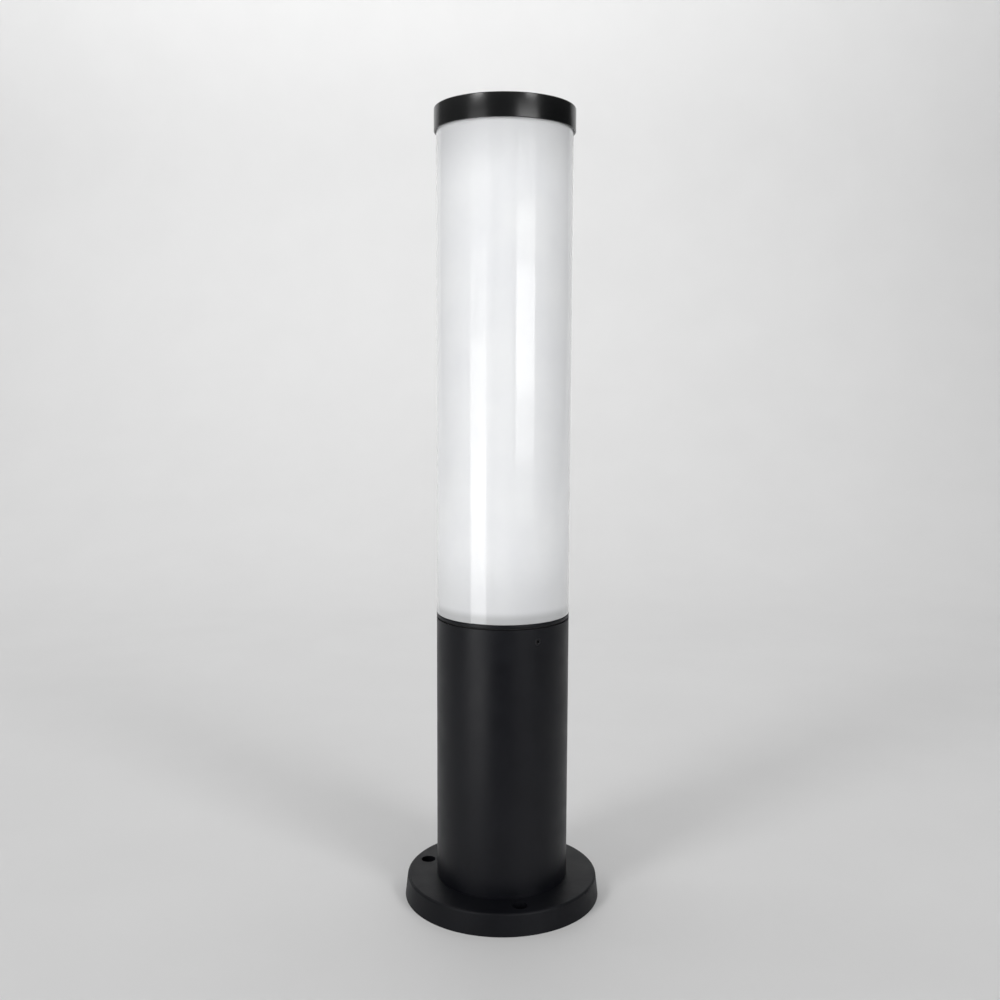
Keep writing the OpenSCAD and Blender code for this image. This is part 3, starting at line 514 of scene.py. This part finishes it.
def bare_copper():
    """Drawn copper wire: warm, bright, with faint dark oxide."""
    material, tree, shader, place = finish_of("drawn_copper", "#c9825a", Metallic=1.0, Roughness=0.28)
    oxide = add(tree, "ShaderNodeTexNoise", {"Vector": place, "Scale": per(1.5), "Detail": 4.0})
    shaded(tree, shader, oxide.outputs[0], "#a5613d", "#dc9870")
    raised(tree, shader, oxide.outputs[0], 0.01)
    return material


edged("lead_conductors", "copper_ends", bare_copper(), 0.05, 60)

# ---------------------------------------------------------------- collar
# A die-cast ring, powder-coated like the post: its flange shows as the thin black line under the opal tube,
# its skirt drops into the post, and its ring stands up inside the opal tube.

turned_sides = 240


def rounded(corners, steps=6):
    """A closed outline from corners (r, z, fillet) in millimetres. Each corner becomes an arc that touches
    both its edges: it starts fillet / tan(half the corner) along them, round a centre fillet / sin(half)
    away."""
    corners = np.array(corners, float)
    point, fillet = corners[:, :2], corners[:, 2:]
    before = np.roll(point, 1, 0) - point
    after = np.roll(point, -1, 0) - point
    before /= np.linalg.norm(before, axis=1, keepdims=True)
    after /= np.linalg.norm(after, axis=1, keepdims=True)
    half = np.arccos(np.clip((before * after).sum(1, keepdims=True), -1, 1)) / 2
    middle = before + after
    middle /= np.linalg.norm(middle, axis=1, keepdims=True)
    centre = point + middle * fillet / np.sin(half)
    start = point + before * fillet / np.tan(half) - centre
    end = point + after * fillet / np.tan(half) - centre
    sweep = (pi - 2 * half)[:, None]
    t = np.linspace(0, 1, steps)[None, :, None]
    arc = (np.sin((1 - t) * sweep) * start[:, None] + np.sin(t * sweep) * end[:, None]) / np.sin(sweep)
    return (centre[:, None] + arc).reshape(-1, 2)


def revolved(name, outline, sides=turned_sides):
    """A closed outline (r, z) in millimetres turned round the axis: (r cos a, r sin a, z)."""
    angle = np.arange(sides) * 2 * pi / sides
    r = outline[:, :1] * mm
    z = np.repeat(outline[:, 1:] * mm, sides, 1)
    points = np.stack((r * np.cos(angle), r * np.sin(angle), z), -1)
    return surface(name, points, grid_faces(len(points), sides, True))


post_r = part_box("post_tube")[1][0] / mm
collar_box = np.array(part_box("head_collar")) / mm
skirt_foot, ring_top = collar_box[0][2], collar_box[1][2]
diffuser_box = np.array(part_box("diffuser")) / mm
seam, diffuser_top = diffuser_box[0][2], diffuser_box[1][2]
diffuser_r = diffuser_box[1][0]
post_wall = 3
diffuser_wall = 3
flange_t = 2
skirt_gap = 0.25
skirt_t = 2.4
ring_gap = 0.2
ring_t = 2.4
groove_foot = 2.45
groove_h = 1.9
groove_depth = 1.2
flange_low = seam - flange_t
skirt_r = post_r - post_wall - skirt_gap
skirt_in = skirt_r - skirt_t
ring_r = diffuser_r - diffuser_wall - ring_gap
ring_in = ring_r - ring_t
groove_low = seam + groove_foot
groove_high = groove_low + groove_h
groove_r = ring_r - groove_depth
collar_outline = rounded([
    (ring_in, flange_low, 0.4), (skirt_in, flange_low - skirt_t, 0.3), (skirt_in, skirt_foot, 0.4),
    (skirt_r, skirt_foot, 0.8), (skirt_r, flange_low, 0.15), (post_r, flange_low, 0.35),
    (post_r, seam, 0.35), (ring_r, seam, 0.15), (ring_r, groove_low, 0.15), (groove_r, groove_low, 0.15),
    (groove_r, groove_high, 0.15), (ring_r, groove_high, 0.15), (ring_r, ring_top, 0.8),
    (ring_in, ring_top, 0.4)])
settle(revolved("collar_casting", collar_outline), "head_collar", tube_coat)

# The gasket and the two seals are cut or moulded rings. The gasket's edge shows as a fine line under the
# flange, and the seals are hidden in the opal tube's two ends.

gasket_gap = 0.1
seal_gap = 0.05
cap_seal_w = 2.6


def ring(inner, outer, low, high, inner_fillet, outer_fillet):
    """The outline of a ring of rectangular section, with one fillet on its inner edges and one outside."""
    return rounded([(inner, low, inner_fillet), (outer, low, outer_fillet), (outer, high, outer_fillet),
                    (inner, high, inner_fillet)])


gasket_box = np.array(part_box("collar_gasket")) / mm
gasket = ring(skirt_r + gasket_gap, gasket_box[1][0], gasket_box[0][2], gasket_box[1][2], 0.1, 0.3)
settle(revolved("cut_gasket", gasket), "collar_gasket", epdm)
seal_box = np.array(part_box("diffuser_seal")) / mm
seal = ring(groove_r + seal_gap, seal_box[1][0], seal_box[0][2], seal_box[1][2], 0.5, 0.7)
settle(revolved("ring_seal", seal), "diffuser_seal", epdm)
cap_seal_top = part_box("cap_seal")[1][2] / mm
cap_seal = ring(diffuser_r - cap_seal_w, diffuser_r, diffuser_top, cap_seal_top, 0.2, 0.3)
settle(revolved("top_seal", cap_seal), "cap_seal", epdm)

# ---------------------------------------------------------------- opal tube
# Extruded opal acrylic tube with a 3 mm wall, sawn and flame-polished at its ends. Its outside is glossy.
# It stands on the collar's flange, round the collar's ring, and the cap closes its top.

cap_box = np.array(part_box("top_cap")) / mm
cap_r, cap_low, cap_top = cap_box[1][0], cap_box[0][2], cap_box[1][2]


def painted_shade_band(tree, height, clear, full, depth):
    """A factor of 1 at one height, falling smoothly to 1 - depth at another, both in millimetres: painted
    shade where it scales a colour.
    """
    inputs = {"Value": height, "From Min": clear * mm, "From Max": full * mm,
              "To Min": 1.0, "To Max": 1 - depth}
    return add(tree, "ShaderNodeMapRange", inputs, interpolation_type="SMOOTHSTEP").outputs["Result"]


def opal_acrylic():
    """Opal acrylic: milky white that light sinks a little way into, under a glossy face. The extrusion
    leaves it very slightly wavy along its length, and barely clouded. Its colour carries painted shade: it
    is darkened where the collar's black ring stands behind it, and a little towards both dark ends, where
    less light comes back out."""
    material, tree, shader, place = finish_of("opal_acrylic", "#e8e9ea", Roughness=0.07, IOR=1.49)
    shader.inputs["Subsurface Weight"].default_value = 1.0
    shader.inputs["Subsurface Radius"].default_value = (1.0, 1.0, 1.0)
    shader.inputs["Subsurface Scale"].default_value = 0.003
    long = add(tree, "ShaderNodeMapping", {"Vector": place, "Scale": (1.0, 1.0, 0.08)}).outputs[0]
    draw = add(tree, "ShaderNodeTexNoise", {"Vector": long, "Scale": per(9), "Detail": 2.0})
    raised(tree, shader, draw.outputs[0], 0.02)
    haze = add(tree, "ShaderNodeTexNoise", {"Vector": place, "Scale": per(30), "Detail": 3.0})
    tree.links.new(spread(tree, haze.outputs[0], 0.04, 0.07), shader.inputs["Roughness"])
    milky = tint(tree, spread(tree, haze.outputs[0], 0, 1), "#e5e6e8", "#eaebec")
    height = add(tree, "ShaderNodeSeparateXYZ", {0: place}).outputs[2]
    # painted shade: the milky colour is scaled down near the foot, over the collar's ring and under the cap
    foot = painted_shade_band(tree, height, seam + 45, seam + 4, 0.15)
    painted_ring_shade = painted_shade_band(tree, height, seam + 7.6, seam + 2.5, 0.27)
    top = painted_shade_band(tree, height, cap_low - 35, cap_low, 0.18)
    ends = add(tree, "ShaderNodeMath", {0: foot, 1: top}, operation="MULTIPLY").outputs[0]
    shade = add(tree, "ShaderNodeMath", {0: ends, 1: painted_ring_shade}, operation="MULTIPLY").outputs[0]
    grey = add(tree, "ShaderNodeVectorMath", {0: milky, "Scale": shade}, operation="SCALE")
    tree.links.new(grey.outputs[0], shader.inputs["Base Color"])
    return material


tube_sides = 360
tube = ring(diffuser_r - diffuser_wall, diffuser_r, seam, diffuser_top, 0.3, 0.5)
settle(revolved("opal_tube", tube, tube_sides), "diffuser", opal_acrylic())

# ---------------------------------------------------------------- cap
# Turned from aluminium and lacquered satin black, smoother than the post. Its skirt covers the top of the
# opal tube, and a ring under it centres it there.


def lacquer():
    """Stoved black lacquer on turned metal: smooth, with a soft clear reflection."""
    material, tree, shader, place = finish_of("satin_lacquer", "#0a0a0b", Roughness=0.22, IOR=1.5)
    cloud = add(tree, "ShaderNodeTexNoise", {"Vector": place, "Scale": per(10), "Detail": 4.0})
    tree.links.new(spread(tree, cloud.outputs[0], 0.2, 0.24), shader.inputs["Roughness"])
    shaded(tree, shader, cloud.outputs[0], "#090a0b", "#0c0d0e")
    fine = add(tree, "ShaderNodeTexNoise", {"Vector": place, "Scale": per(1.2), "Detail": 2.0})
    raised(tree, shader, fine.outputs[0], 0.006)
    return material


cap_top_t = 2.5
cap_gap = 0.25
cap_ring_h = 8
cap_ring_t = 2.2
cap_under = cap_top - cap_top_t
cap_skirt_in = diffuser_r + cap_gap
cap_ring_low = cap_under - cap_ring_h
cap_ring_in = ring_r - cap_ring_t
cap_outline = rounded([
    (0, cap_under, 0), (cap_ring_in, cap_under, 0.3), (cap_ring_in, cap_ring_low, 0.3),
    (ring_r, cap_ring_low, 0.6), (ring_r, cap_under, 0.1), (cap_skirt_in, cap_under, 0.1),
    (cap_skirt_in, cap_low, 0.25), (cap_r, cap_low, 0.3), (cap_r, cap_top, 0.8), (0, cap_top, 0)])
settle(revolved("turned_cap", cap_outline), "top_cap", lacquer())

# ---------------------------------------------------------------- lamp
# A screw-in LED lamp: nickel-plated cap, black glass round its solder tip, a moulded white housing that
# hides the driver, and a frosted dome over the emitters.


def nickel():
    """Bright nickel on rolled brass sheet: mirror-like, a touch warm, a little scuffed on the crests."""
    material, tree, shader, place = finish_of("nickel_plate", "#c9c4ba", Metallic=1.0)
    scuff = add(tree, "ShaderNodeTexNoise", {"Vector": place, "Scale": per(1.8), "Detail": 5.0})
    tree.links.new(spread(tree, scuff.outputs[0], 0.12, 0.3), shader.inputs["Roughness"])
    shaded(tree, shader, scuff.outputs[0], "#b8b2a6", "#d2cec6")
    raised(tree, shader, scuff.outputs[0], 0.01)
    return material


cap_foot, lamp_seat = (corner[2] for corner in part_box("lamp_cap"))
male_low = cap_foot + 0.8 * mm
male_high = shell_high + 3 * mm
male_root = 12.03 * mm
foot_r, neck_r = 11.2 * mm, 13.2 * mm
male_steps = int((male_high - male_low) / thread_pitch * rows_per_pitch)
male_rows = np.linspace(male_low, male_high, male_steps)


def male_thread(height, angle):
    """The root's radius plus the thread's wave; a plain band above it, and a round closed foot below."""
    r = male_root + fading(height, male_low, male_high) * wave(height, angle)
    r = np.where(height > male_high + 0.1 * mm, neck_r, r)
    return np.where(height < male_low - 0.1 * mm, foot_r, r)


lamp_rows = np.concatenate(([cap_foot], male_rows, [male_high + 0.8 * mm, lamp_seat]))
foot_centre = np.broadcast_to((0, 0, cap_foot), (1, thread_sides, 3))
seat_centre = np.broadcast_to((0, 0, lamp_seat), (1, thread_sides, 3))
lamp_points = np.concatenate((foot_centre, threaded(lamp_rows, male_thread), seat_centre))
rolled_cap = surface("rolled_cap", lamp_points, grid_faces(len(lamp_points), thread_sides, False))
settle(rolled_cap, "lamp_cap", nickel())


def vitrite():
    """Black glass, poured and fire-polished."""
    material, tree, shader, place = finish_of("black_glass", "#101012", Roughness=0.08, IOR=1.52)
    flow = add(tree, "ShaderNodeTexNoise", {"Vector": place, "Scale": per(4), "Detail": 2.0})
    tree.links.new(tint(tree, flow.outputs[0], "#0c0c0e", "#1b1a1e"), shader.inputs["Base Color"])
    raised(tree, shader, flow.outputs[0], 0.1)
    return material


def solder():
    """Cooled solder: dull silver, grainy."""
    material, tree, shader, place = finish_of("solder", "#a9aaac", Metallic=1.0)
    grain = add(tree, "ShaderNodeTexNoise", {"Vector": place, "Scale": per(0.8), "Detail": 5.0})
    tree.links.new(spread(tree, grain.outputs[0], 0.35, 0.6), shader.inputs["Roughness"])
    tree.links.new(tint(tree, grain.outputs[0], "#919395", "#bcbdbf"), shader.inputs["Base Color"])
    raised(tree, shader, grain.outputs[0], 0.04)
    return material


tip_low, tip_high = (corner[2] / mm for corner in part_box("lamp_contact"))
tip_r, tip_top_r = 3.2, 4.5
glass_low_r, glass_top_r = 6.2, foot_r / mm - 0.2
glass_top = cap_foot / mm
end_steps = 8
tip = rounded([(0, tip_low, 0), (tip_r, tip_low, 1.4), (tip_top_r, tip_high, 0.05), (0, tip_high, 0)],
              end_steps)
settle(revolved("solder_tip", tip, 96), "lamp_contact", solder())
glass = rounded([(0, tip_high, 0), (glass_low_r, tip_high, 0.5), (glass_top_r, glass_top, 0.1),
                 (0, glass_top, 0)], end_steps)
settle(revolved("glass_ring", glass, 120), "lamp_insulator", vitrite())


def moulded_white():
    """Moulded white PBT: satin, evenly coloured, with the fine spark grain of its mould."""
    material, tree, shader, place = finish_of("moulded_white_plastic", "#e9e9e5", Roughness=0.42, IOR=1.5)
    grain = add(tree, "ShaderNodeTexVoronoi", {"Vector": place, "Scale": per(0.45)})
    raised(tree, shader, grain.outputs["Distance"], 0.02, 0.7)
    cloud = add(tree, "ShaderNodeTexNoise", {"Vector": place, "Scale": per(12), "Detail": 3.0})
    shaded(tree, shader, cloud.outputs[0], "#e4e4df", "#eeeeea")
    return material


def frosted_white():
    """Diffusing polycarbonate: white through and through, frosted on the outside."""
    material, tree, shader, place = finish_of("frosted_polycarbonate", "#f0f0ec", Roughness=0.38, IOR=1.58)
    shader.inputs["Subsurface Weight"].default_value = 0.7
    shader.inputs["Subsurface Scale"].default_value = 0.0012
    frost = add(tree, "ShaderNodeTexNoise", {"Vector": place, "Scale": per(0.5), "Detail": 3.0})
    raised(tree, shader, frost.outputs[0], 0.012)
    cloud = add(tree, "ShaderNodeTexNoise", {"Vector": place, "Scale": per(14), "Detail": 3.0})
    shaded(tree, shader, cloud.outputs[0], "#edede8", "#f4f4f0")
    return material


body_low, body_high = (corner[2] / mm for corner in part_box("lamp_body"))
lamp_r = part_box("lamp_body")[1][0] / mm
lamp_sides = 180
housing_neck = 13.8
housing_t = 1.8
flare_steps = 40


def flare(low_r, high_r, low_z, high_z):
    """A housing wall: its radius grows as half of 1 - cos(pi t^0.9), from the neck to the widest ring."""
    t = np.linspace(0, 1, flare_steps)
    r = low_r + (high_r - low_r) * (1 - np.cos(pi * t ** 0.9)) / 2
    return np.stack((r, low_z + t * (high_z - low_z)), -1)


outer_wall = flare(housing_neck, lamp_r, body_low, body_high)
inner_wall = flare(housing_neck - housing_t, lamp_r - housing_t, body_low + housing_t, body_high)
housing = np.concatenate(([(0, body_low)], outer_wall, inner_wall[::-1], [(0, body_low + housing_t)]))
settle(revolved("lamp_housing", housing, lamp_sides), "lamp_body", moulded_white())

dome_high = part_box("lamp_dome")[1][2] / mm
dome_t = 1.2


def quarter_oval(radius, top):
    """A quarter of an oval from the widest ring up to the axis: (radius cos a, height sin a)."""
    angle = np.linspace(0, pi / 2, 32)[:, None]
    wall = np.hstack((radius * np.cos(angle), body_high + (top - body_high) * np.sin(angle)))
    wall[-1, 0] = 0
    return wall


dome_out = quarter_oval(lamp_r, dome_high)
dome_in = quarter_oval(lamp_r - dome_t, dome_high - dome_t)
dome = np.concatenate((dome_out, dome_in[::-1]))
settle(revolved("frosted_dome", dome, lamp_sides), "lamp_dome", frosted_white())


def solder_mask(name, colour, pale):
    """Solder mask on a board: a thin, even, semi-gloss film."""
    material, tree, shader, place = finish_of(name, colour, Roughness=0.35, IOR=1.5)
    cloud = add(tree, "ShaderNodeTexNoise", {"Vector": place, "Scale": per(3), "Detail": 4.0})
    shaded(tree, shader, cloud.outputs[0], colour, pale)
    weave = add(tree, "ShaderNodeTexVoronoi", {"Vector": place, "Scale": per(0.6)})
    raised(tree, shader, weave.outputs["Distance"], 0.01)
    return material


edged("led_board", "emitter_board", solder_mask("white_solder_mask", "#e2e4e4", "#eceded"), 0.1)
edged("led_chips", "emitters", solder_mask("phosphor_gel", "#dcb93c", "#e8cc5c"), 0.15)
edged("driver_board", "driver_plate", solder_mask("green_solder_mask", "#1f6b42", "#2a7d50"), 0.1)
edged("driver_parts", "driver_components", solder_mask("shrink_film", "#26282b", "#34373b"), 0.3)

# ---------------------------------------------------------------- grub screws
# Black-oxided steel set screws with hexagon sockets, three round the post, just below its top. They pinch
# the collar's skirt and so hold the head.


def black_oxide():
    """Black oxide on steel: deep grey, faintly blue, oiled, rubbed bright on its edges."""
    material, tree, shader, place = finish_of("black_oxide_steel", "#1c1c1e", Metallic=0.5)
    rub = add(tree, "ShaderNodeTexNoise", {"Vector": place, "Scale": per(0.9), "Detail": 5.0})
    shaded(tree, shader, rub.outputs[0], "#161618", "#2c2d30")
    tree.links.new(spread(tree, rub.outputs[0], 0.28, 0.45), shader.inputs["Roughness"])
    raised(tree, shader, rub.outputs[0], 0.008)
    return material


oxide = black_oxide()
for letter in "abc":
    edged(f"grub_screw_{letter}", f"set_screw_{letter}", oxide, 0.12)

# ---------------------------------------------------------------- floor and light
# A matt pale sheet, flat under the light and curving up a long way behind it, so that no edge shows. In front
# it goes on as an apron that isn't mirrored and casts no shadow, so the soft boxes' low ends still light the
# opal tube. Two tall soft boxes stand in front, with a smaller, brighter one above each, in a dim studio.


def painted_floor():
    """Matt white paint with the faintest unevenness."""
    material, tree, shader, place = finish_of("matt_white_floor", "#d9d9d9", Roughness=0.6)
    cloud = add(tree, "ShaderNodeTexNoise", {"Vector": place, "Scale": per(90), "Detail": 3.0})
    shaded(tree, shader, cloud.outputs[0], "#d8d8d8", "#dadada")
    return material


floor_half = 1.6
apron_front = -1.6
floor_front, floor_back = -0.25, 0.75
sweep_r = 0.75
wall_top = 2.4
sheet_columns = 17
bend = np.linspace(0, pi / 2, 33)
sweep = np.stack((floor_back + sweep_r * np.sin(bend), sweep_r * (1 - np.cos(bend))), -1)


def sheet(name, profile):
    """A sheet across the camera's view, bent to a profile of points (distance behind the light, height)."""
    across = np.linspace(-floor_half, floor_half, sheet_columns)
    width, along = np.meshgrid(across, profile[:, 0], indexing="ij")
    rise = np.broadcast_to(profile[:, 1], width.shape)
    turn = (cos(camera_turn), sin(camera_turn))
    points = np.stack((turn[0] * width - turn[1] * along, turn[1] * width + turn[0] * along, rise), -1)
    rows, columns = points.shape[:2]
    first = (np.arange(rows - 1)[:, None] * columns + np.arange(columns - 1)).ravel()
    obj = surface(name, points, np.stack((first, first + columns, first + columns + 1, first + 1), -1))
    skin(obj, floor_paint)
    soften(obj, 60)
    return obj


floor_paint = painted_floor()
sheet("floor", np.concatenate(([(floor_front, 0)], sweep, [(floor_back + sweep_r, wall_top)])))
apron = sheet("apron", np.array([(apron_front, 0), (floor_front, 0)]))
apron.visible_glossy = False
apron.visible_shadow = False

light_distance = 1.5
panels = 6


def soft_box(name, azimuth, width, low, high, peak, brightest, fade):
    """A tall light, azimuth degrees to the right of the camera and facing the object, in panels stacked
    from low to high. Its radiance is peak exp(-((z - brightest) / fade)^2)."""
    step = (high - low) / panels
    for i in range(panels):
        middle = low + (i + 0.5) * step
        radiance = peak * exp(-((middle - brightest) / fade) ** 2)
        lamp = bpy.data.lights.new(f"{name}_{i}", "AREA")
        lamp.shape = "RECTANGLE"
        lamp.size = width
        lamp.size_y = step
        lamp.energy = radiance * pi * width * step
        panel = bpy.data.objects.new(lamp.name, lamp)
        panel.location = turned((0, -light_distance, middle), camera_turn + radians(azimuth))
        panel.rotation_euler = (pi / 2, 0, camera_turn + radians(azimuth))
        panel.visible_camera = False
        bpy.context.scene.collection.objects.link(panel)


soft_box("soft_box_left", -43, 0.76, -0.7, 0.95, 4.1, -0.08, 0.56)
soft_box("soft_box_right", 36, 0.86, -0.1, 0.95, 5.0, 0.42, 0.32)
soft_box("key_left", -45, 0.42, 1.05, 1.6, 16.5, 1.3, 1)
soft_box("key_right", 43, 0.42, 1.05, 1.6, 12, 1.3, 1)

backdrop_lamp = bpy.data.lights.new("backdrop_light", "AREA")
backdrop_lamp.shape = "RECTANGLE"
backdrop_lamp.size = 2.2
backdrop_lamp.size_y = 0.4
backdrop_lamp.energy = 23
backdrop_light = bpy.data.objects.new("backdrop_light", backdrop_lamp)
backdrop_light.location = turned((-0.35, 0.35, 1.9), camera_turn)
backdrop_light.rotation_euler = (radians(66), 0, camera_turn)
bpy.context.scene.collection.objects.link(backdrop_light)

# The studio is brighter towards its ceiling, its left wall and behind the camera. Past the sheet's edges the
# camera sees a plain pale grey instead.

room_glow = 0.05
seen_grey = 0.66
world = bpy.data.worlds.new("studio")
bpy.context.scene.world = world
world.use_nodes = True
sky = world.node_tree
direction = add(sky, "ShaderNodeTexCoord").outputs["Generated"]


def part_of_sky(toward, start, end, radiance):
    """Radiance that grows from 0 to a value as the direction turns toward a given one."""
    toward = tuple(turned(toward, camera_turn))
    lean = add(sky, "ShaderNodeVectorMath", {0: direction, 1: toward}, operation="DOT_PRODUCT")
    inputs = {"Value": lean.outputs["Value"], "From Min": start, "From Max": end,
              "To Min": 0.0, "To Max": radiance}
    return add(sky, "ShaderNodeMapRange", inputs, interpolation_type="SMOOTHSTEP").outputs["Result"]


ceiling = part_of_sky((0, 0, 1), 0.2, 0.75, 0.3)
left_wall = part_of_sky((-1, 0, 0), 0.0, 0.9, 0.15)
front_wall = part_of_sky((0, -1, 0), 0.3, 1.0, 0.1)
sides = add(sky, "ShaderNodeMath", {0: left_wall, 1: front_wall}, operation="ADD").outputs[0]
total = add(sky, "ShaderNodeMath", {0: ceiling, 1: sides}, operation="ADD").outputs[0]
dim = add(sky, "ShaderNodeMath", {0: total, 1: room_glow}, operation="ADD").outputs[0]
seen = add(sky, "ShaderNodeLightPath").outputs["Is Camera Ray"]
strength = add(sky, "ShaderNodeMix", {0: seen, 2: dim, 3: seen_grey}, data_type="FLOAT")
sky.links.new(strength.outputs[0], sky.nodes["Background"].inputs["Strength"])
sky.nodes["Background"].inputs["Color"].default_value = linear("#f6f6f6")
bpy.context.scene.view_settings.view_transform = "Standard"
